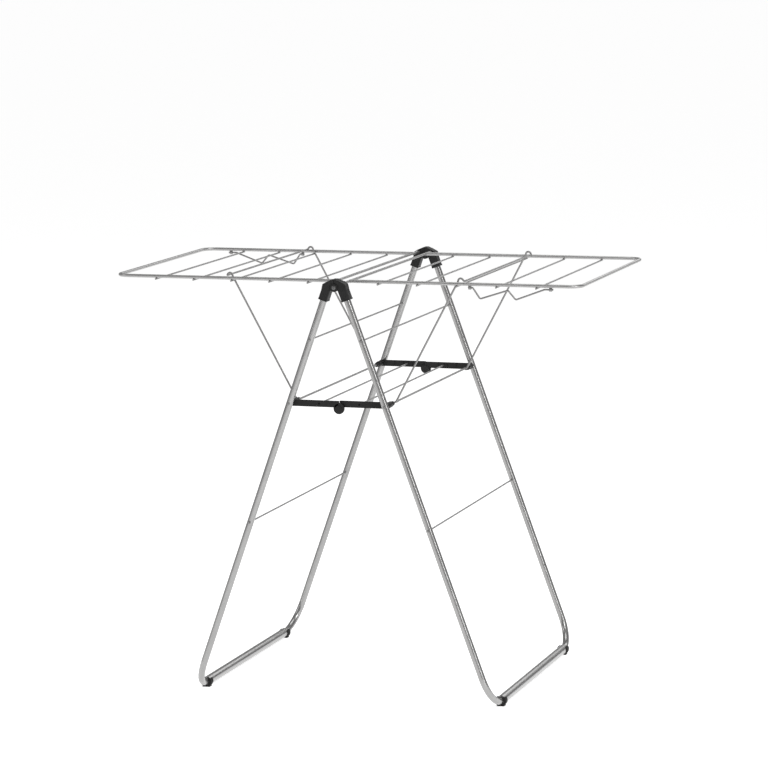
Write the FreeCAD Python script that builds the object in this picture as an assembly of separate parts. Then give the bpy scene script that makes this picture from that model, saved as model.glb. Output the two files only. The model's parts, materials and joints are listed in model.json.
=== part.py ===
import FreeCAD, Part
import os
from math import asin, atan2, cos, hypot, sin, tan

os.makedirs("parts", exist_ok=True)

# Winged clothes drying rack. X runs along the wings, Y from the front leg pair to
# the rear pair, Z up. The origin is on the floor, midway between the four feet.
# All lengths are in millimetres.

# Driving dimensions
WING_Z = 980.0            # height of the wing tubes' centre lines
HINGE_Z = 972.0           # height of the leg hinge axis
FLOOR_HALF_SPREAD = 364.0  # floor bar to centre plane
LEG_Y = 341.0             # leg tube to centre plane
LEG_R = 8.0
LEG_WALL = 1.2
LEG_OFFSET = 16.5         # leg axis to hinge axis, square to the leg
LEG_BEND_R = 70.0
BAR_R = 11.0
BAR_WALL = 1.2
BAR_Z = 13.0              # floor bar centre above the floor
LEG_PLUG = 40.0           # how far a leg runs into its floor bar
WING_HALF_DEPTH = 287.0   # wing long tube to centre plane
WING_TUBE_R = 4.0
WING_WALL = 1.0
WING_REACH = 562.0        # outer end tube to centre plane
WING_CORNER_R = 28.0
AXLE_X = 16.0             # wing axle to centre plane
AXLE_R = 3.0
WIRE_R = 2.0              # drying wires
FIRST_ROD_X = 85.0
ROD_PITCH = 94.0
ROD_COUNT = 5
ROD_OVERHANG = 6.0
UPPER_WIRE_Z = 850.0
LOWER_WIRE_Z = 418.0
BRACE_PIVOT_Z = 700.0
KNUCKLE_Z = 690.0
PIVOT_ROD_R = 2.5
BAIL_R = 2.25
HANGER_R = 2.0
RUN_FIT = 0.05            # radial clearance of every running fit
GAP = 0.5                 # play between pieces that pass each other

# The legs: direction of the right leg, from the hinge down, and its outward normal
drop = HINGE_Z - BAR_Z
lean = atan2(FLOOR_HALF_SPREAD, drop) - asin(LEG_OFFSET / hypot(FLOOR_HALF_SPREAD, drop))
DOWN = (sin(lean), -cos(lean))
OUT = (cos(lean), sin(lean))
leg_length = FLOOR_HALF_SPREAD * DOWN[0] - drop * DOWN[1]


def leg_x(z):
    """Distance of a leg's axis from the centre plane at height z."""
    return LEG_OFFSET / cos(lean) + (HINGE_Z - z) * tan(lean)


def vec(x, y, z):
    return FreeCAD.Vector(x, y, z)


def leg_point(side, along, out, y):
    """A point set out from the hinge axis along a leg and square to it."""
    x = along * DOWN[0] + out * OUT[0]
    z = HINGE_Z + along * DOWN[1] + out * OUT[1]
    return vec(side * x, y, z)


def rod(radius, start, end):
    """A solid round bar between two points."""
    axis = end - start
    return Part.makeCylinder(radius, axis.Length, start, axis)


def rod_y(radius, x, z, y0, y1):
    return rod(radius, vec(x, min(y0, y1), z), vec(x, max(y0, y1), z))


def rounded_path(points, radii):
    """Straight runs through the points, each inner corner rounded to its radius."""
    edges = []
    here = points[0]
    for i in range(1, len(points) - 1):
        corner = points[i]
        back = (points[i - 1] - corner).normalize()
        ahead = (points[i + 1] - corner).normalize()
        half = back.getAngle(ahead) / 2
        setback = radii[i - 1] / tan(half)
        middle = (back + ahead).normalize() * (radii[i - 1] / sin(half) - radii[i - 1])
        start, end = corner + back * setback, corner + ahead * setback
        edges.append(Part.LineSegment(here, start).toShape())
        edges.append(Part.Arc(start, corner + middle, end).toShape())
        here = end
    edges.append(Part.LineSegment(here, points[-1]).toShape())
    return Part.Wire(edges)


def sweep(path, radius):
    """A round section carried along a tangent-continuous path."""
    start = path.Edges[0]
    first = start.valueAt(start.FirstParameter)
    along = start.tangentAt(start.FirstParameter)
    ring = Part.Wire([Part.Circle(first, along, radius).toShape()])
    return path.makePipeShell([ring], True, False)


def tube(path, radius, wall):
    return sweep(path, radius).cut(sweep(path, radius - wall))


def outline_prism(points, y0, y1):
    """A prism across Y from an outline of (x, z) points."""
    ring = [vec(x, y0, z) for x, z in points]
    face = Part.Face(Part.makePolygon(ring + [ring[0]]))
    return face.extrude(vec(0, y1 - y0, 0))


def save(name, shape):
    if not shape.isValid() or not shape.Solids:
        raise ValueError(name + " is not a valid solid")
    if len(shape.Solids) == 1:
        shape = shape.Solids[0]
    shape.exportStep("parts/" + name + ".step")


SIDES = {"left": -1, "right": 1}
ENDS = {"front": -1, "rear": 1}

# ---------------------------------------------------------------- leg frames
LEG_TOP = 13.0            # top of a leg tube, along the leg from the hinge
WIRE_END = 4.0            # how far a cross wire stands out past the legs
BAR_END_Y = LEG_Y - LEG_BEND_R - 1.0
FOOT_R = 13.5
FOOT_OVER_BAR = 9.0
FOOT_OVER_LEG = 6.0
PAD_HALF_WIDTH = 9.0
FOOT_ARM_RISE = 7.5       # top of a clip's arms above the bar's centre


def leg(side, end):
    """A leg tube: straight down the lean, then bent inwards to plug into its bar."""
    top = leg_point(side, LEG_TOP, LEG_OFFSET, end * LEG_Y)
    heel = leg_point(side, leg_length, LEG_OFFSET, end * LEG_Y)
    tip = leg_point(side, leg_length, LEG_OFFSET, end * (BAR_END_Y - LEG_PLUG))
    body = tube(rounded_path([top, heel, tip], [LEG_BEND_R]), LEG_R, LEG_WALL)
    for z, radius in ((UPPER_WIRE_Z, WIRE_R), (LOWER_WIRE_Z, WIRE_R), (BRACE_PIVOT_Z, PIVOT_ROD_R)):
        body = body.cut(rod_y(radius, side * leg_x(z), z, end * (LEG_Y - 20), end * (LEG_Y + 20)))
    return body


def floor_bar(side):
    x = side * leg_x(BAR_Z)
    bar = rod_y(BAR_R, x, BAR_Z, -BAR_END_Y, BAR_END_Y)
    for end in ENDS.values():
        bar = bar.cut(rod_y(LEG_R, x, BAR_Z, end * (BAR_END_Y - LEG_PLUG - 2), end * BAR_END_Y))
    middle = BAR_END_Y - LEG_PLUG - 2
    return bar.cut(rod_y(BAR_R - BAR_WALL, x, BAR_Z, -middle, middle))


def foot(side, end):
    """A clip under the joint of leg and floor bar, flat underneath and open on top."""
    x = side * leg_x(BAR_Z)
    inner, outer = end * (BAR_END_Y - FOOT_OVER_BAR), end * (BAR_END_Y + FOOT_OVER_LEG)
    low = min(inner, outer)
    collar = rod_y(FOOT_R, x, BAR_Z, inner, outer)
    pad = Part.makeBox(2 * PAD_HALF_WIDTH, abs(outer - inner), BAR_Z, vec(x - PAD_HALF_WIDTH, low, 0))
    below = Part.makeBox(80, 60, 30, vec(x - 40, low - 20, -30))
    above = Part.makeBox(80, 60, 30, vec(x - 40, low - 20, BAR_Z + FOOT_ARM_RISE))
    collar = collar.fuse(pad).cut([below, above])
    collar = collar.cut(rod_y(BAR_R, x, BAR_Z, inner, end * BAR_END_Y))
    straight_end = LEG_Y - LEG_BEND_R
    collar = collar.cut(rod_y(LEG_R, x, BAR_Z, end * BAR_END_Y, end * straight_end))
    heel = leg_point(side, leg_length, LEG_OFFSET, end * LEG_Y)
    knee = leg_point(side, leg_length - LEG_BEND_R - 5, LEG_OFFSET, end * LEG_Y)
    tip = leg_point(side, leg_length, LEG_OFFSET, end * (straight_end - 1))
    return collar.cut(sweep(rounded_path([knee, heel, tip], [LEG_BEND_R]), LEG_R)).removeSplitter()


for side_name, side in SIDES.items():
    for end_name, end in ENDS.items():
        save(side_name + "_leg_" + end_name, leg(side, end))
        save(side_name + "_foot_" + end_name, foot(side, end))
    save(side_name + "_floor_bar", floor_bar(side))
    reach = LEG_Y + LEG_R + WIRE_END
    for wire_name, z in (("upper", UPPER_WIRE_Z), ("lower", LOWER_WIRE_Z)):
        save(side_name + "_" + wire_name + "_wire", rod_y(WIRE_R, side * leg_x(z), z, -reach, reach))
    pivot_reach = LEG_Y + LEG_R
    pivot_rod = rod_y(PIVOT_ROD_R, side * leg_x(BRACE_PIVOT_Z), BRACE_PIVOT_Z, -pivot_reach, pivot_reach)
    save(side_name + "_pivot_rod", pivot_rod)

# ---------------------------------------------------------------- hinge caps
CAP_HALF_DEPTH = 12.0
CAP_LENGTH = 38.0         # socket mouth, along the leg from the hinge
CAP_OUTER = 27.0          # socket's outer edge, square to the leg from the hinge
CAP_INNER = 6.0
CAP_RIDGE = 19.0          # crest above the hinge axis
CAP_CREST = 6.0           # half width of the flat crest
CAP_BROW = (18.0, 15.5)   # corners of the crest's slope, from the hinge axis
CAP_SHOULDER = (27.0, 8.0)
SPLIT = 0.3               # half the gap between the caps at the ridge
KNUCKLE_R = 10.0
HINGE_PIN_R = 3.0
PIN_HEAD_R = 5.0
PIN_HEAD = 1.5
AXLE_DEPTH = 9.0          # axle bore's depth in a cap
CAP_ROUND = 2.0


def cap(side, end):
    """One half of a leg hinge: a socket for the leg, a knuckle and an axle bearing."""
    inner_y, mid_y, outer_y = [end * (LEG_Y + d) for d in (-CAP_HALF_DEPTH, 0.0, CAP_HALF_DEPTH)]
    mouth_out = leg_point(side, CAP_LENGTH, CAP_OUTER, 0)
    mouth_in = leg_point(side, CAP_LENGTH, CAP_INNER, 0)
    crotch = leg_point(side, 0, CAP_INNER, 0)
    outline = [(side * SPLIT, HINGE_Z + CAP_RIDGE),
               (side * CAP_CREST, HINGE_Z + CAP_RIDGE),
               (side * CAP_BROW[0], HINGE_Z + CAP_BROW[1]),
               (side * CAP_SHOULDER[0], HINGE_Z + CAP_SHOULDER[1]),
               (mouth_out.x, mouth_out.z), (mouth_in.x, mouth_in.z),
               (crotch.x, crotch.z), (side * SPLIT, crotch.z + 1)]
    body = outline_prism(outline, inner_y, outer_y)
    rounded = []
    for edge in body.Edges:
        p, q = [v.Point for v in edge.Vertexes]
        across = abs(p.y - q.y) > 1
        outside = min(abs(p.x), abs(q.x)) > CAP_SHOULDER[0] - 1
        if across and outside:
            rounded.append(edge)
    body = body.makeFillet(CAP_ROUND, rounded)
    # The left cap carries the outer knuckle, the right cap the inner one.
    own_face, other_face = (outer_y, inner_y) if side < 0 else (inner_y, outer_y)
    toward = 1 if own_face > mid_y else -1
    own_mid, other_mid = mid_y + toward * GAP / 2, mid_y + toward * GAP
    body = body.cut(rod_y(KNUCKLE_R + GAP, 0, HINGE_Z, other_face - toward, other_mid - toward * GAP / 2))
    body = body.fuse(rod_y(KNUCKLE_R, 0, HINGE_Z, own_face, own_mid))
    fit = 0 if side < 0 else RUN_FIT
    body = body.cut(rod_y(HINGE_PIN_R + fit, 0, HINGE_Z, inner_y - end, outer_y + end))
    socket_top = leg_point(side, LEG_TOP, LEG_OFFSET, end * LEG_Y)
    socket_mouth = leg_point(side, CAP_LENGTH + 5, LEG_OFFSET, end * LEG_Y)
    body = body.cut(rod(LEG_R, socket_top, socket_mouth))
    bearing = rod_y(AXLE_R + RUN_FIT, side * AXLE_X, WING_Z, inner_y - end, inner_y + end * AXLE_DEPTH)
    return body.cut(bearing).removeSplitter()


def hinge_pin(end):
    shank = rod_y(HINGE_PIN_R, 0, HINGE_Z, end * (LEG_Y - CAP_HALF_DEPTH), end * (LEG_Y + CAP_HALF_DEPTH))
    outer = end * (LEG_Y + CAP_HALF_DEPTH)
    head = rod_y(PIN_HEAD_R, 0, HINGE_Z, outer, outer + end * PIN_HEAD)
    return shank.fuse(head).removeSplitter()


for end_name, end in ENDS.items():
    for side_name, side in SIDES.items():
        save(side_name + "_hinge_cap_" + end_name, cap(side, end))
    save("hinge_pin_" + end_name, hinge_pin(end))

# ---------------------------------------------------------------- folding braces
BRACE_HALF_HEIGHT = 7.5
BRACE_THICK = 6.5
BRACE_OUTER_Y = LEG_Y - LEG_R - 1.5    # outer face of the left halves' plane
BRACE_INNER_Y = BRACE_OUTER_Y - BRACE_THICK - GAP
BOSS_R = 7.0
BOSS_END_Y = 300.0
DISC_R = 13.0
BACK_DISC_R = 10.0
KNUCKLE_PIN_R = 3.0
KNUCKLE_BORE_R = 4.0
GRID_WIRE_REACH = 68.0    # inner drying wire from the brace pivot
KNOB_R = 5.5
KNOB_OUTER_Y = 299.0
KNOB_INNER_Y = 284.0

pivot_x = leg_x(BRACE_PIVOT_Z)


def brace_half(side, end):
    """One half of a folding brace. Left halves lie outside the right halves."""
    outer = BRACE_OUTER_Y if side < 0 else BRACE_INNER_Y
    inner = outer - BRACE_THICK
    x = side * pivot_x
    grid_x = side * (pivot_x - GRID_WIRE_REACH)
    y0, y1 = sorted((end * inner, end * outer))
    low, high = BRACE_PIVOT_Z - BRACE_HALF_HEIGHT, BRACE_PIVOT_Z + BRACE_HALF_HEIGHT
    bar = outline_prism([(x, low), (0, low), (0, high), (x, high)], y0, y1)
    disc_r = DISC_R if side < 0 else BACK_DISC_R
    disc = rod_y(disc_r, 0, KNUCKLE_Z, y0, y1)
    half = bar.fuse([disc, rod_y(BOSS_R + GAP, x, BRACE_PIVOT_Z, y0, y1)])
    half = half.fuse(rod_y(BOSS_R, x, BRACE_PIVOT_Z, end * BRACE_OUTER_Y, end * BOSS_END_Y))
    half = half.cut(rod_y(PIVOT_ROD_R + RUN_FIT, x, BRACE_PIVOT_Z, end * 280, end * LEG_Y))
    pin_hole = KNUCKLE_PIN_R if side < 0 else KNUCKLE_BORE_R
    half = half.cut(rod_y(pin_hole, 0, KNUCKLE_Z, y0 - 1, y1 + 1))
    return half.cut(rod_y(WIRE_R, grid_x, BRACE_PIVOT_Z, y0 - 1, y1 + 1)).removeSplitter()


def knuckle_pin(end):
    """The rivet at the knuckle, set in the left half."""
    inner, outer = end * (BRACE_OUTER_Y - BRACE_THICK), end * BRACE_OUTER_Y
    return rod_y(KNUCKLE_PIN_R, 0, KNUCKLE_Z, inner, outer)


def knob(side, end):
    """A push-on stop that keeps a brace on its pivot rod."""
    x = side * pivot_x
    body = rod_y(KNOB_R, x, BRACE_PIVOT_Z, end * KNOB_INNER_Y, end * KNOB_OUTER_Y)
    rim = [e for e in body.Edges if e.Curve.TypeId == "Part::GeomCircle"]
    return body.makeFillet(1.5, rim).cut(rod_y(PIVOT_ROD_R, x, BRACE_PIVOT_Z, end * 280, end * 302))


for side_name, side in SIDES.items():
    outer = BRACE_OUTER_Y if side < 0 else BRACE_INNER_Y
    grid_x = side * (pivot_x - GRID_WIRE_REACH)
    save(side_name + "_grid_wire", rod_y(WIRE_R, grid_x, BRACE_PIVOT_Z, -outer, outer))
    for end_name, end in ENDS.items():
        save(side_name + "_brace_" + end_name, brace_half(side, end))
    save(side_name + "_pivot_knobs", Part.makeCompound([knob(side, end) for end in ENDS.values()]))
for end_name, end in ENDS.items():
    save("knuckle_pin_" + end_name, knuckle_pin(end))

# ---------------------------------------------------------------- wings
ROD_Z = WING_Z - WING_TUBE_R - WIRE_R
AXLE_END_Y = LEG_Y - CAP_HALF_DEPTH + AXLE_DEPTH - GAP
prop_rod_x = FIRST_ROD_X + 2 * ROD_PITCH


def wing_frame(side):
    """The U-shaped outer tube of a wing, cut to sit against its axle."""
    y = WING_HALF_DEPTH
    points = [vec(side * AXLE_X, -y, WING_Z), vec(side * WING_REACH, -y, WING_Z),
              vec(side * WING_REACH, y, WING_Z), vec(side * AXLE_X, y, WING_Z)]
    frame = tube(rounded_path(points, [WING_CORNER_R] * 2), WING_TUBE_R, WING_WALL)
    return frame.cut(rod_y(AXLE_R, side * AXLE_X, WING_Z, -AXLE_END_Y, AXLE_END_Y))


BAIL_Y = 279.0
BAIL_SIDE_GAP = 5.0       # strut's centre line from the prop rod's, square to the strut
HUMP_TOP = 22.0
CROSSBAR_OUT = 15.0
CROSSBAR_UP = 11.0
BAIL_FOOT = 16.0
FOOT_FROM_PIVOT = (5.3, 1.5)


def bail(side):
    """The wire prop under a wing: two struts, a hump over the prop rod and a crossbar."""
    foot_x, foot_z = pivot_x + FOOT_FROM_PIVOT[0], BRACE_PIVOT_Z + FOOT_FROM_PIVOT[1]
    run_x, run_z = prop_rod_x - BAIL_SIDE_GAP - foot_x, ROD_Z - foot_z
    past = 12.0 / hypot(run_x, run_z)
    shoulder = (foot_x + run_x * (1 + past), foot_z + run_z * (1 + past))
    points = []
    for end in (-1, 1):
        row = [vec(side * foot_x, end * (BAIL_Y - BAIL_FOOT), foot_z),
               vec(side * foot_x, end * BAIL_Y, foot_z),
               vec(side * shoulder[0], end * BAIL_Y, shoulder[1]),
               vec(side * (prop_rod_x + 4), end * BAIL_Y, ROD_Z + HUMP_TOP + 4),
               vec(side * (prop_rod_x + CROSSBAR_OUT), end * BAIL_Y, ROD_Z + CROSSBAR_UP)]
        points += row if end < 0 else row[::-1]
    radii = [5.0, 8.0, 6.0, 5.0, 5.0, 6.0, 8.0, 5.0]
    return sweep(rounded_path(points, radii), BAIL_R)


HANGER_Z = WING_Z - WING_TUBE_R - 4.0
HANGER_LOW = HANGER_Z - 25.0
HANGER_X = (300.0, 311.0, 328.0, 394.0, 412.0, 480.0, 500.0)
HANGER_HIGH = 4.0
CLIP_WIDTH = 6.0
CLIP_WALL = 2.2
CLIP_X = (304.0, 494.0)


def hanger(side, end):
    """The toothed wire under a wing tube that clothes hangers hook onto."""
    heights = [HANGER_Z, HANGER_Z, HANGER_LOW, HANGER_Z - HANGER_HIGH, HANGER_LOW, HANGER_Z, HANGER_Z]
    y = end * WING_HALF_DEPTH
    points = [vec(side * x, y, z) for x, z in zip(HANGER_X, heights)]
    return sweep(rounded_path(points, [3.0, 5.0, 4.0, 5.0, 3.0]), HANGER_R)


def hanger_clips(side, end):
    """Two eyes under the wing tube that the hanger wire swings in."""
    y = end * WING_HALF_DEPTH
    clips = []
    for x in CLIP_X:
        start = vec(side * x - CLIP_WIDTH / 2, y, HANGER_Z)
        along = vec(CLIP_WIDTH, 0, 0)
        eye = rod(HANGER_R + RUN_FIT + CLIP_WALL, start, start + along)
        eye = eye.cut(rod(HANGER_R + RUN_FIT, start, start + along))
        tube_start = vec(start.x, y, WING_Z)
        clips.append(eye.cut(rod(WING_TUBE_R, tube_start, tube_start + along)))
    return Part.makeCompound(clips)


for side_name, side in SIDES.items():
    hanger_end = side * -1
    save(side_name + "_wing_frame", wing_frame(side))
    save(side_name + "_wing_axle", rod_y(AXLE_R, side * AXLE_X, WING_Z, -AXLE_END_Y, AXLE_END_Y))
    for i in range(ROD_COUNT):
        x = side * (FIRST_ROD_X + i * ROD_PITCH)
        reach = WING_HALF_DEPTH + ROD_OVERHANG
        save(side_name + "_wing_rod_" + str(i + 1), rod_y(WIRE_R, x, ROD_Z, -reach, reach))
    save(side_name + "_bail", bail(side))
    save(side_name + "_hanger_wire", hanger(side, hanger_end))
    save(side_name + "_hanger_clips", hanger_clips(side, hanger_end))
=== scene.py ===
import json
from math import asin, atan2, cos, hypot, pi, radians, sin, sqrt

import bmesh
import bpy
from mathutils import Matrix, Vector


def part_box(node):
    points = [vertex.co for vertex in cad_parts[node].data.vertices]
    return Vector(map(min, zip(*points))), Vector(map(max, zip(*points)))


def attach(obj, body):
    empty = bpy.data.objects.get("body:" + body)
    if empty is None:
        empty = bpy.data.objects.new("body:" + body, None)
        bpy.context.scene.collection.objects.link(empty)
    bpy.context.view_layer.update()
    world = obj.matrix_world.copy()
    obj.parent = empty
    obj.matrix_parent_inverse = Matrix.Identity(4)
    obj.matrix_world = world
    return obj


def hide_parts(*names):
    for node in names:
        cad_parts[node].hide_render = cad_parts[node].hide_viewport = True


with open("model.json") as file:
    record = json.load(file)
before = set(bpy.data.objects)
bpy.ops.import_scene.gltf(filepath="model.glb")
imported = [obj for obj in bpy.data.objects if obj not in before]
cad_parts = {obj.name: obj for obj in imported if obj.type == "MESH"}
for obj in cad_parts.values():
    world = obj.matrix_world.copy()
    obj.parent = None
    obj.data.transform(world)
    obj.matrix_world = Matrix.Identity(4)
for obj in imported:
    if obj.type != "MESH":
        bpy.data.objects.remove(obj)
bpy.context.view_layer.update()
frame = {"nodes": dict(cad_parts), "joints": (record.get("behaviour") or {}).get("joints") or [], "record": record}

# Winged clothes drying rack. X runs along the wings, Y from the front leg pair to
# the rear pair, Z up. Everything is in metres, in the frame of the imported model.

SIDES = {"left": -1, "right": 1}
ENDS = {"front": -1, "rear": 1}
JOINTS = {joint["name"]: joint for joint in frame["joints"]}


def middle(node):
    low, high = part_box(node)
    return (low + high) / 2


# Places read from the frame
HINGE_Z = JOINTS["leg_fold"]["pos_m"][2]
PIVOT_X = JOINTS["right_brace_fold"]["pos_m"][0]
BRACE_Z = JOINTS["right_brace_fold"]["pos_m"][2]
AXLE_X, AXLE_Z = JOINTS["right_wing_fold"]["pos_m"][0], JOINTS["right_wing_fold"]["pos_m"][2]
KNUCKLE_Z = middle("knuckle_pin_front").z
LEG_Y = middle("right_hinge_cap_rear").y
BAR_X, BAR_Z = middle("right_floor_bar").x, middle("right_floor_bar").z
BAR_END_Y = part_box("right_floor_bar")[1].y
WING_Y = middle("right_hanger_wire").y

# Sizes of the real pieces
LEG_R = 0.008
LEG_OFFSET = 0.0165
BAR_R = 0.011
WIRE_R = 0.002
WING_TUBE_R = 0.004
PIVOT_ROD_R = 0.0025
HANGER_EYE_X = (0.304, 0.494)
PLAY = 0.0005

drop = HINGE_Z - BAR_Z
LEAN = atan2(BAR_X, drop) - asin(LEG_OFFSET / hypot(BAR_X, drop))


def leg_point(side, along, out, y=0.0):
    """A point set out from the hinge axis along a leg and square to it."""
    x = along * sin(LEAN) + out * cos(LEAN)
    z = HINGE_Z - along * cos(LEAN) + out * sin(LEAN)
    return Vector((side * x, y, z))


# ------------------------------------------------------------ finishes

def node(tree, kind, inputs=(), **settings):
    """A shader node with its settings and its unlinked sockets filled in."""
    made = tree.nodes.new(kind)
    for name, value in settings.items():
        setattr(made, name, value)
    for socket, value in dict(inputs).items():
        made.inputs[socket].default_value = value
    return made


def spread(tree, source, low, high, from_low=0.3, from_high=0.7):
    """Maps a 0 to 1 pattern onto a working range."""
    ranged = node(tree, "ShaderNodeMapRange", {"From Min": from_low, "From Max": from_high,
                                               "To Min": low, "To Max": high})
    tree.links.new(source, ranged.inputs["Value"])
    return ranged.outputs["Result"]


def grey_between(tree, factor, dark, light):
    blend = node(tree, "ShaderNodeMix", data_type="RGBA")
    blend.inputs["A"].default_value = (*dark, 1)
    blend.inputs["B"].default_value = (*light, 1)
    tree.links.new(factor, blend.inputs["Factor"])
    return blend.outputs["Result"]


def finish(name, dark, light, metallic, roughness, grain, patch, relief, coat=0.0, specular=0.5):
    """A surface with patchy tone and gloss, a fine grain and rubbed or dusty spots.
    Grain and patch are pattern scales per metre. Relief is the bump's height in metres."""
    made = bpy.data.materials.new(name)
    made.use_nodes = True
    tree = made.node_tree
    shader = tree.nodes["Principled BSDF"]
    shader.inputs["Metallic"].default_value = metallic
    shader.inputs["Specular IOR Level"].default_value = specular
    shader.inputs["Coat Weight"].default_value = coat
    shader.inputs["Coat Roughness"].default_value = 0.25
    place = node(tree, "ShaderNodeTexCoord").outputs["Object"]
    fine = node(tree, "ShaderNodeTexNoise", {"Scale": grain, "Detail": 3.0, "Roughness": 0.6})
    broad = node(tree, "ShaderNodeTexNoise", {"Scale": patch, "Detail": 5.0, "Roughness": 0.65})
    for pattern in (fine, broad):
        tree.links.new(place, pattern.inputs["Vector"])
    mixed = node(tree, "ShaderNodeMath", {1: 0.35}, operation="MULTIPLY")
    tree.links.new(fine.outputs["Fac"], mixed.inputs[0])
    summed = node(tree, "ShaderNodeMath", {1: 0.65}, operation="MULTIPLY_ADD")
    tree.links.new(broad.outputs["Fac"], summed.inputs[0])
    tree.links.new(mixed.outputs[0], summed.inputs[2])
    tree.links.new(grey_between(tree, spread(tree, summed.outputs[0], 0, 1), dark, light),
                   shader.inputs["Base Color"])
    tree.links.new(spread(tree, broad.outputs["Fac"], *roughness), shader.inputs["Roughness"])
    bump = node(tree, "ShaderNodeBump", {"Strength": 1.0, "Distance": relief})
    tree.links.new(fine.outputs["Fac"], bump.inputs["Height"])
    tree.links.new(bump.outputs["Normal"], shader.inputs["Normal"])
    return made


def grey(value, warmth=0.0):
    return (value + warmth, value, value - warmth)


FINISHES = {
    "leg_tube": finish("leg_lacquer", grey(0.30, 0.002), grey(0.37, 0.002), 0.90, (0.19, 0.28),
                       1400, 22, 0.000005, coat=0.15),
    "wing_tube": finish("wing_lacquer", grey(0.32, 0.002), grey(0.39, 0.002), 0.80, (0.30, 0.42),
                        1400, 26, 0.00002, coat=0.15),
    "wire": finish("wire_lacquer", grey(0.21, 0.002), grey(0.27, 0.002), 0.70, (0.34, 0.48),
                   1500, 30, 0.00002, coat=0.10),
    "pin_steel": finish("pin_steel", grey(0.10), grey(0.18), 1.0, (0.34, 0.50), 2500, 180, 0.00001),
    "black_plastic": finish("black_plastic", grey(0.005), grey(0.014), 0.0, (0.42, 0.62),
                            1100, 60, 0.00016, specular=0.26),
    "black_rubber": finish("black_rubber", grey(0.007), grey(0.020), 0.0, (0.62, 0.82),
                           1000, 70, 0.00014, specular=0.26),
}

for subpart in frame["record"]["subparts"]:
    shown = frame["nodes"][subpart["node"]]
    for held in shown.material_slots:
        held.material = FINISHES[subpart["material_slot"]]


# ------------------------------------------------------------ shaping

def closed(bm):
    """Merges seams and poles, and turns every face outwards."""
    bmesh.ops.remove_doubles(bm, verts=bm.verts, dist=1e-7)
    bmesh.ops.recalc_face_normals(bm, faces=bm.faces)
    return bm


def softened(bm, width, sharper_than=28, steps=3):
    """Rounds the edges that turn by more than an angle in degrees."""
    edges = [e for e in bm.edges
             if len(e.link_faces) == 2 and e.calc_face_angle() > radians(sharper_than)]
    bmesh.ops.bevel(bm, geom=edges, offset=width, offset_type="OFFSET", segments=steps, profile=0.5,
                    affect="EDGES", material=-1, clamp_overlap=True)
    return bm


def joined(*parts):
    """Several closed shells as one mesh in the making."""
    whole = bmesh.new()
    for part in parts:
        loose = bpy.data.meshes.new("loose")
        part.to_mesh(loose)
        part.free()
        whole.from_mesh(loose)
        bpy.data.meshes.remove(loose)
    return whole


def turned(profile, foot, axis, steps=40):
    """A lathe-turned solid: profile holds (radius, height) from pole to pole, along axis from foot."""
    bm = bmesh.new()
    chain = [bm.verts.new((radius, 0, height)) for radius, height in profile]
    edges = [bm.edges.new(pair) for pair in zip(chain, chain[1:])]
    bmesh.ops.spin(bm, geom=chain + edges, cent=(0, 0, 0), axis=(0, 0, 1), angle=2 * pi, steps=steps,
                   use_merge=True)
    closed(bm)
    turn = Vector(axis).to_track_quat("Z", "Y").to_matrix().to_4x4()
    bm.transform(Matrix.Translation(foot) @ turn)
    return bm


def collar(inner, outer, foot, axis, length, soft, steps=40):
    """A turned ring with rounded rims, open through its middle."""
    bm = bmesh.new()
    section = [(inner, 0), (outer - soft, 0), (outer - soft * 0.3, soft * 0.3), (outer, soft),
               (outer, length - soft), (outer - soft * 0.3, length - soft * 0.3), (outer - soft, length),
               (inner, length)]
    loop = [bm.verts.new((radius, 0, height)) for radius, height in section]
    edges = [bm.edges.new(pair) for pair in zip(loop, loop[1:] + loop[:1])]
    bmesh.ops.spin(bm, geom=loop + edges, cent=(0, 0, 0), axis=(0, 0, 1), angle=2 * pi, steps=steps,
                   use_merge=True)
    closed(bm)
    turn = Vector(axis).to_track_quat("Z", "Y").to_matrix().to_4x4()
    bm.transform(Matrix.Translation(foot) @ turn)
    return bm


def disc_profile(radius, height, soft):
    """A flat turned disc with both rims rounded."""
    rim = [(radius - soft * (1 - sin(a)), soft * (1 - cos(a))) for a in (0, pi / 6, pi / 3, pi / 2)]
    return [(0, 0)] + rim + [(r, height - z) for r, z in reversed(rim)] + [(0, height)]


def slab(outline, y0, y1, soft, sharper_than=28):
    """A plate across Y from an outline of (x, z) points, its edges rounded."""
    bm = bmesh.new()
    face = bm.faces.new([bm.verts.new((x, y0, z)) for x, z in outline])
    pushed = bmesh.ops.extrude_face_region(bm, geom=[face])["geom"]
    moved = [v for v in pushed if isinstance(v, bmesh.types.BMVert)]
    bmesh.ops.translate(bm, vec=(0, y1 - y0, 0), verts=moved)
    return softened(closed(bm), soft, sharper_than)


def block(size, soft, place, steps=4):
    """A block with rounded edges, centred at its place."""
    bm = bmesh.new()
    bmesh.ops.create_cube(bm, size=1.0)
    bmesh.ops.scale(bm, vec=size, verts=bm.verts)
    softened(bm, soft, steps=steps)
    bm.transform(place)
    return bm


def arc(centre, radius, start, end, steps):
    """Points (x, z) round a circle from one angle to another, in degrees."""
    turns = [radians(start + (end - start) * i / steps) for i in range(steps + 1)]
    return [(centre[0] + radius * cos(a), centre[1] + radius * sin(a)) for a in turns]


def shade(mesh, crease=42):
    """Smooth shading in which wide flat faces stay flat and only the small faces between them turn."""
    around = [[] for _ in mesh.vertices]
    for face in mesh.polygons:
        for corner in face.vertices:
            around[corner].append(face)
    normals = []
    for face in mesh.polygons:
        for corner in face.vertices:
            total = Vector()
            for other in around[corner]:
                if other.normal.dot(face.normal) > cos(radians(crease)):
                    total += other.normal * other.area
            normals.append(total.normalized())
    mesh.polygons.foreach_set("use_smooth", [True] * len(mesh.polygons))
    mesh.normals_split_custom_set(normals)


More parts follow.
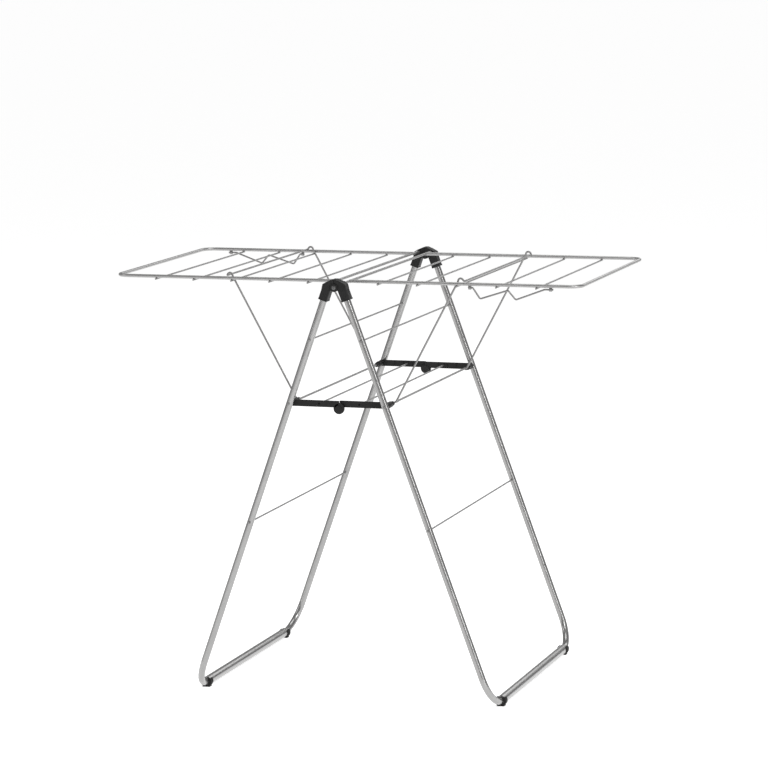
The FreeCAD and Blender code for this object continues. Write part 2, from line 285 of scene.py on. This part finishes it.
def piece(name, bm, body, slot_name, *stands_for):
    """Makes the finished object, shades it, and lets it ride on its body."""
    mesh = bpy.data.meshes.new(name)
    bm.to_mesh(mesh)
    bm.free()
    shade(mesh)
    mesh.materials.append(FINISHES[slot_name])
    made = bpy.data.objects.new(name, mesh)
    bpy.context.scene.collection.objects.link(made)
    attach(made, body)
    if stands_for:
        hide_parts(*stands_for)
    return made


# ------------------------------------------------------------ hinge caps

CAP_HALF_DEPTH = 0.012
CAP_RIDGE = 0.019
CAP_CREST = 0.004
CAP_BROW = (0.016, 0.0138)
CAP_SHOULDER = (0.027, 0.008)
CAP_SPLIT = 0.0003         # from the centre plane
SLEEVE_START = 0.0088
SLEEVE_END = 0.0375
SLEEVE_WIDTH = 0.021
LIP = 0.0040
KNUCKLE_R = 0.010
PIN_R = 0.003
PIN_FIT = 0.00005
WEB_BORE_R = 0.0045


def leg_frame(side, along, y):
    """Places a piece on a leg's axis: its Z runs down the leg and its X points outwards."""
    out = (leg_point(side, 0, 1) - leg_point(side, 0, 0)).normalized()
    down = (leg_point(side, 1, 0) - leg_point(side, 0, 0)).normalized()
    across = down.cross(out)
    place = Matrix((out, across, down)).transposed().to_4x4()
    place.translation = leg_point(side, along, LEG_OFFSET, y)
    return place


def cap_head(side, y0, y1):
    """The crest and shoulder of a cap, hollowed round the knuckle."""
    clear = KNUCKLE_R + PLAY
    outer = leg_point(side, SLEEVE_START + 0.004, LEG_OFFSET + SLEEVE_WIDTH / 2)
    inner_out = LEG_OFFSET - SLEEVE_WIDTH / 2
    inner = leg_point(side, sqrt(clear ** 2 - inner_out ** 2), inner_out)
    start = atan2(inner.z - HINGE_Z, abs(inner.x))
    hollow = [(side * x, z) for x, z in arc((0, HINGE_Z), clear, start * 180 / pi, 88.5, 14)]
    outline = [(side * CAP_SPLIT, HINGE_Z + CAP_RIDGE), (side * CAP_CREST, HINGE_Z + CAP_RIDGE),
               (side * CAP_BROW[0], HINGE_Z + CAP_BROW[1]),
               (side * CAP_SHOULDER[0], HINGE_Z + CAP_SHOULDER[1]), (outer.x, outer.z)]
    return slab(outline + hollow, y0, y1, 0.0012, 20)


def cap(side, end):
    """Crest, socket sleeve with its flared lip, knuckle, axle boss and pin seat of one hinge cap."""
    y = end * LEG_Y
    inner_y, outer_y = y - end * CAP_HALF_DEPTH, y + end * CAP_HALF_DEPTH
    own_face, toward = (outer_y, -end) if side < 0 else (inner_y, end)
    low, high = sorted((inner_y, outer_y))
    sleeve_length = SLEEVE_END - SLEEVE_START
    sleeve = block((SLEEVE_WIDTH, 2 * CAP_HALF_DEPTH, sleeve_length), 0.0024,
                   leg_frame(side, (SLEEVE_START + SLEEVE_END) / 2, y))
    lip = block((SLEEVE_WIDTH + 0.0005, 2 * CAP_HALF_DEPTH + 0.0004, LIP), 0.0014,
                leg_frame(side, SLEEVE_END - LIP / 2 + 0.0005, y))
    knuckle = collar(PIN_R + PIN_FIT, KNUCKLE_R, (0, own_face, HINGE_Z), (0, toward, 0),
                     CAP_HALF_DEPTH - PLAY / 2, 0.0012, 56)
    web_y = sorted((own_face + toward * 0.0016, own_face + toward * (CAP_HALF_DEPTH - PLAY)))
    reach = [leg_point(side, 0.004, 0.018), leg_point(side, 0.014, 0.012), leg_point(side, 0.0095, 0.0065)]
    last = atan2(reach[-1].z - HINGE_Z, abs(reach[-1].x)) * 180 / pi
    round_pin = [(side * x, z) for x, z in arc((0, HINGE_Z), WEB_BORE_R, last, 86, 8)]
    web = slab([(side * CAP_SPLIT, HINGE_Z + 0.0165)] + [(p.x, p.z) for p in reach] + round_pin,
               *web_y, 0.0002)
    seat = collar(0.0036, 0.0068, (0, own_face, HINGE_Z), (0, -toward, 0), 0.0008, 0.0003)
    boss = collar(0.0031, 0.0055, (side * AXLE_X, inner_y, AXLE_Z), (0, -end, 0), 0.0016, 0.0005)
    return joined(cap_head(side, low, high), sleeve, lip, knuckle, web, seat, boss)


def hinge_pin(end, radius=0.005):
    """A rivet through both knuckles, with a domed head and a dimple in its crown."""
    length = 2 * CAP_HALF_DEPTH
    shape = [(0, -length), (PIN_R - 0.0004, -length), (PIN_R, 0.0004 - length), (PIN_R, 0), (radius, 0),
             (radius, 0.0005), (radius * 0.86, 0.0011), (radius * 0.55, 0.0015), (radius * 0.34, 0.0015),
             (radius * 0.26, 0.0011), (0, 0.0009)]
    return turned(shape, (0, end * (LEG_Y + CAP_HALF_DEPTH), HINGE_Z), (0, end, 0), 36)


for end_name, end in ENDS.items():
    for side_name, side in SIDES.items():
        node_name = side_name + "_hinge_cap_" + end_name
        piece(node_name + "_moulding", cap(side, end), side_name + "_legs", "black_plastic", node_name)
    piece("hinge_pin_" + end_name + "_rivet", hinge_pin(end), "left_legs", "pin_steel",
          "hinge_pin_" + end_name)

# ------------------------------------------------------------ folding braces

BRACE_HALF_HEIGHT = 0.0075
BRACE_THICK = 0.0065
BOSS_R = 0.007
BOSS_END_Y = 0.300
KNOB_OUTER_Y = 0.299
DISC_R = {"left": 0.013, "right": 0.010}
RECESS = 0.0018


def brace(side_name, end_name):
    """One brace half: a rounded bar ribbed on its hidden face, a knuckle disc and a pivot boss."""
    side, end = SIDES[side_name], ENDS[end_name]
    outer_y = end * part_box(side_name + "_grid_wire")[1].y
    boss_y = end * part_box(side_name + "_brace_rear")[1].y
    mid_y = outer_y - end * BRACE_THICK / 2
    bar = bmesh.new()
    bmesh.ops.create_cube(bar, size=1.0)
    bmesh.ops.scale(bar, vec=(PIVOT_X, BRACE_THICK, 2 * BRACE_HALF_HEIGHT), verts=bar.verts)
    hidden = [f for f in bar.faces if f.normal.y * end < -0.9]
    bmesh.ops.inset_region(bar, faces=hidden, thickness=0.0024, depth=0)
    bmesh.ops.translate(bar, vec=(0, end * RECESS, 0), verts=hidden[0].verts)
    softened(bar, 0.0010)
    bar.transform(Matrix.Translation((side * PIVOT_X / 2, mid_y, BRACE_Z)))
    disc = turned(disc_profile(DISC_R[side_name], BRACE_THICK, 0.0015), (0, outer_y, KNUCKLE_Z),
                  (0, -end, 0), 64)
    boss_length = abs(boss_y) - BOSS_END_Y
    boss = turned(disc_profile(BOSS_R, boss_length, 0.0010), (side * PIVOT_X, boss_y, BRACE_Z),
                  (0, -end, 0), 44)
    shoulder = turned(disc_profile(BOSS_R + PLAY, BRACE_THICK, 0.0012), (side * PIVOT_X, outer_y, BRACE_Z),
                      (0, -end, 0), 44)
    shells = [bar, disc, boss, shoulder]
    for share in (0.3, 0.5, 0.7):
        rib = block((0.0012, RECESS, 2 * BRACE_HALF_HEIGHT - 0.004), 0.0003,
                    Matrix.Translation((side * PIVOT_X * share, outer_y - end * (BRACE_THICK - RECESS / 2),
                                        BRACE_Z)), steps=2)
        shells.append(rib)
    return joined(*shells)


def knob(side, end):
    """A push-on stop with a domed end and two grip grooves."""
    radius, length, groove = 0.0055, 0.015, 0.0005
    profile = [(0, 0), (radius - 0.001, 0), (radius, 0.001)]
    for at in (0.004, 0.008):
        profile += [(radius, at), (radius - groove, at + groove), (radius - groove, at + 2 * groove),
                    (radius, at + 3 * groove)]
    profile += [(radius, 0.0115), (radius * 0.93, 0.0130), (radius * 0.7, 0.0143), (radius * 0.35, length),
                (0, length)]
    return turned(profile, (side * PIVOT_X, end * KNOB_OUTER_Y, BRACE_Z), (0, -end, 0), 36)


for side_name, side in SIDES.items():
    for end_name, end in ENDS.items():
        node_name = side_name + "_brace_" + end_name
        piece(node_name + "_moulding", brace(side_name, end_name), side_name + "_brace", "black_plastic",
              node_name)
    piece(side_name + "_pivot_knobs_turned", joined(*[knob(side, end) for end in ENDS.values()]),
          side_name + "_legs", "black_plastic", side_name + "_pivot_knobs")
for end_name, end in ENDS.items():
    low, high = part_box("knuckle_pin_" + end_name)
    face_y = high.y if end > 0 else low.y
    piece("knuckle_cover_" + end_name,
          turned([(0, -0.002), (0.0078, -0.002), (0.0078, 0), (0.0074, 0.0005), (0.0060, 0.0008),
                  (0.0, 0.0009)], (0, face_y, KNUCKLE_Z), (0, end, 0), 48),
          "left_brace", "black_plastic")

# ------------------------------------------------------------ feet

CLIP_R = 0.0135
CLIP_RISE = 0.0075
PAD_HALF_WIDTH = 0.009


def clip_outline(x, seat):
    """A clip round a tube: open on top, flat underneath."""
    tip = asin(CLIP_RISE / CLIP_R) * 180 / pi
    inner_tip = asin(CLIP_RISE / seat) * 180 / pi
    pad = asin(PAD_HALF_WIDTH / CLIP_R) * 180 / pi
    right = arc((x, BAR_Z), CLIP_R, tip, -90 + pad, 14)
    left = [(2 * x - px, pz) for px, pz in reversed(right)]
    seat_line = arc((x, BAR_Z), seat, -180 - inner_tip, inner_tip, 30)
    return right + [(x + PAD_HALF_WIDTH, 0), (x - PAD_HALF_WIDTH, 0)] + left + seat_line


def foot(side, end):
    """A clip over the end of a floor bar and the start of its leg."""
    x = side * BAR_X
    over_bar = sorted((end * (BAR_END_Y - 0.009), end * (BAR_END_Y + 0.0002)))
    over_leg = sorted((end * BAR_END_Y, end * (BAR_END_Y + 0.006)))
    shells = [slab(clip_outline(x, BAR_R), *over_bar, 0.0006, 40),
              slab(clip_outline(x, LEG_R + 0.0001), *over_leg, 0.0006, 40)]
    return joined(*shells)


for side_name, side in SIDES.items():
    for end_name, end in ENDS.items():
        node_name = side_name + "_foot_" + end_name
        piece(node_name + "_clip", foot(side, end), side_name + "_legs", "black_rubber", node_name)

# ------------------------------------------------------------ welds and wire ends


def weld(place, size):
    """A low bead where a wire is resistance-welded to a tube."""
    bm = bmesh.new()
    bmesh.ops.create_uvsphere(bm, u_segments=14, v_segments=9, radius=1.0)
    bmesh.ops.scale(bm, vec=size, verts=bm.verts)
    bm.transform(Matrix.Translation(place))
    return bm


def wire_end(place, radius, outwards):
    """The slightly domed end of a cropped wire."""
    dome = [(0, -0.001), (radius, -0.001), (radius, 0), (radius * 0.85, radius * 0.25),
            (radius * 0.5, radius * 0.42), (0, radius * 0.48)]
    return turned(dome, place, (0, outwards, 0), 20)


def wing_welds(side_name):
    """Beads and cropped ends along both long tubes of a wing."""
    shells = []
    tube_z = AXLE_Z - WING_TUBE_R
    for name in sorted(n for n in frame["nodes"] if n.startswith(side_name + "_wing_rod_")):
        at, (low, high) = middle(name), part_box(name)
        for end in ENDS.values():
            shells.append(weld((at.x, end * abs(WING_Y), tube_z), (0.0025, 0.0024, 0.0009)))
            shells.append(wire_end((at.x, high.y if end > 0 else low.y, at.z), WIRE_R, end))
    for end in ENDS.values():
        shells.append(weld((SIDES[side_name] * (AXLE_X + 0.002), end * abs(WING_Y), AXLE_Z),
                           (0.0038, 0.0045, 0.0042)))
    for x in HANGER_EYE_X:
        shells.append(weld((SIDES[side_name] * x, middle(side_name + "_hanger_wire").y,
                            tube_z - 0.0003), (0.0034, 0.0022, 0.0012)))
    return joined(*shells)


def leg_welds(side_name):
    """Fillets and cropped ends where the cross wires and the pivot rod pass through the legs."""
    shells = []
    for name, radius in (("_upper_wire", WIRE_R), ("_lower_wire", WIRE_R), ("_pivot_rod", PIVOT_ROD_R)):
        at, (low, high) = middle(side_name + name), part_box(side_name + name)
        for end in ENDS.values():
            for face in (-1, 1):
                spot = (at.x, end * LEG_Y + face * (LEG_R - 0.0002), at.z)
                shells.append(collar(radius * 0.9, radius + 0.0011, spot, (0, face, 0), 0.0009, 0.0006, 24))
            shells.append(wire_end((at.x, high.y if end > 0 else low.y, at.z), radius, end))
    return joined(*shells)


for side_name in SIDES:
    piece(side_name + "_wing_welds", wing_welds(side_name), side_name + "_wing", "wire")
    piece(side_name + "_leg_welds", leg_welds(side_name), side_name + "_legs", "wire")

# ------------------------------------------------------------ floor, light and camera


def studio_floor():
    """A wide round floor of matt white board."""
    bm = bmesh.new()
    bmesh.ops.create_circle(bm, cap_ends=True, segments=96, radius=60)
    mesh = bpy.data.meshes.new("studio_floor")
    bm.to_mesh(mesh)
    bm.free()
    board = bpy.data.materials.new("white_board")
    board.use_nodes = True
    tree = board.node_tree
    shader = tree.nodes["Principled BSDF"]
    shader.inputs["Roughness"].default_value = 0.95
    shader.inputs["Specular IOR Level"].default_value = 0.1
    shader.inputs["Emission Color"].default_value = (1, 1, 1, 1)
    shader.inputs["Emission Strength"].default_value = 0.66
    grain = node(tree, "ShaderNodeTexNoise", {"Scale": 6.0, "Detail": 2.0})
    tree.links.new(node(tree, "ShaderNodeTexCoord").outputs["Object"], grain.inputs["Vector"])
    tree.links.new(grey_between(tree, grain.outputs["Fac"], (0.88,) * 3, (0.90,) * 3),
                   shader.inputs["Base Color"])
    mesh.materials.append(board)
    floor = bpy.data.objects.new("studio_floor", mesh)
    bpy.context.scene.collection.objects.link(floor)


def softbox(name, place, aim, width, height, power):
    lamp = bpy.data.lights.new(name, "AREA")
    lamp.shape = "RECTANGLE"
    lamp.size, lamp.size_y, lamp.energy = width, height, power
    made = bpy.data.objects.new(name, lamp)
    made.location = place
    made.rotation_euler = (Vector(aim) - Vector(place)).to_track_quat("-Z", "Y").to_euler()
    bpy.context.scene.collection.objects.link(made)


def studio_sky():
    """White to the eye, and a softer grey as light."""
    world = bpy.data.worlds.new("studio")
    world.use_nodes = True
    bpy.context.scene.world = world
    tree = world.node_tree
    seen = node(tree, "ShaderNodeBackground", {"Color": (1, 1, 1, 1), "Strength": 1.0})
    lit = tree.nodes["Background"]
    lit.inputs["Color"].default_value = (1, 1, 1, 1)
    lit.inputs["Strength"].default_value = 0.36
    choose = node(tree, "ShaderNodeMixShader")
    ray = node(tree, "ShaderNodeLightPath")
    tree.links.new(ray.outputs["Is Camera Ray"], choose.inputs["Fac"])
    tree.links.new(lit.outputs[0], choose.inputs[1])
    tree.links.new(seen.outputs[0], choose.inputs[2])
    tree.links.new(choose.outputs[0], tree.nodes["World Output"].inputs["Surface"])


def studio_camera():
    """Stands to the right of the front legs and looks slightly down."""
    lens = bpy.data.cameras.new("camera")
    lens.sensor_width, lens.lens = 36.0, 157.8
    lens.shift_x, lens.shift_y = -0.0078, 0.0020
    lens.clip_end = 200
    forward = Vector((-0.3121, 0.9383, -0.1493)).normalized()
    roll = radians(-0.79)
    level = forward.cross(Vector((0, 0, 1))).normalized()
    upright = level.cross(forward)
    right = level * cos(roll) + upright * sin(roll)
    up = upright * cos(roll) - level * sin(roll)
    camera = bpy.data.objects.new("camera", lens)
    camera.matrix_world = Matrix.Translation((2.520, -7.532, 1.894)) @ Matrix(
        (right, up, -forward)).transposed().to_4x4()
    bpy.context.scene.collection.objects.link(camera)
    bpy.context.scene.camera = camera


studio_floor()
studio_sky()
softbox("key", (3.0, -3.5, 4.2), (0, 0, 0.6), 1.6, 2.4, 90)
softbox("strip", (3.9, -2.2, 1.5), (0, 0, 0.6), 0.50, 3.2, 40)
softbox("fill", (-4.0, -2.5, 2.6), (0, 0, 0.5), 1.2, 2.4, 30)
softbox("top", (0, 0.4, 5.0), (0, 0, 0), 3.0, 3.0, 60)
softbox("back", (1.0, 5.0, 3.0), (0, 0, 0.6), 3.0, 2.0, 30)
studio_camera()
bpy.context.scene.view_settings.view_transform = "Standard"
